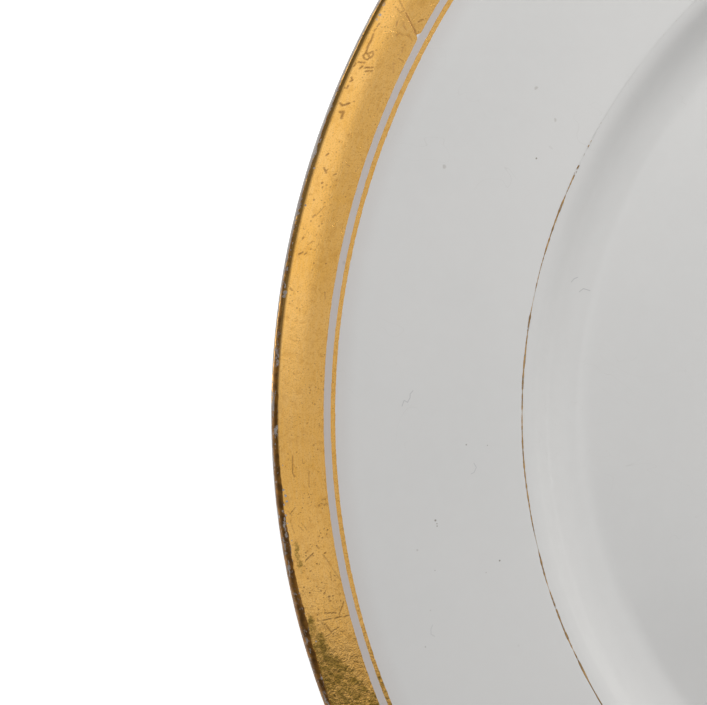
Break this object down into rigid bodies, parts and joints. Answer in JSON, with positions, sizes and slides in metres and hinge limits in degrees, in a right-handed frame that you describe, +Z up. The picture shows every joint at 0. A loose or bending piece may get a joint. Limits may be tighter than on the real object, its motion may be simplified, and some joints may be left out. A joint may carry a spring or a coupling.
{
  "type": "dinner plate",
  "caption": "Round porcelain dinner plate with a wide sloping rim, flat recessed well, foot ring, gilded lip band and fine gold lines.",
  "frame": {"origin": "on the plate's axis, in the plane that the foot ring stands on", "axes": "+Z up along the axis, out of the eating side; X and Y are any two directions in the table plane, because the plate is a solid of revolution"},
  "size_m": [0.2666, 0.2666, 0.0208],
  "materials": {
    "porcelain": "bare fired porcelain, smooth and matte",
    "glaze": "clear gloss glaze over white porcelain",
    "gold": "burnished gold, worn and scratched at the lip"
  },
  "bodies": {
    "root": {"porcelain_body": "porcelain", "glaze_coat": "glaze", "recess_glaze": "glaze", "rim_gold_band": "gold", "rim_gold_line": "gold", "verge_gold_line": "gold"}
  },
  "joints": []
}
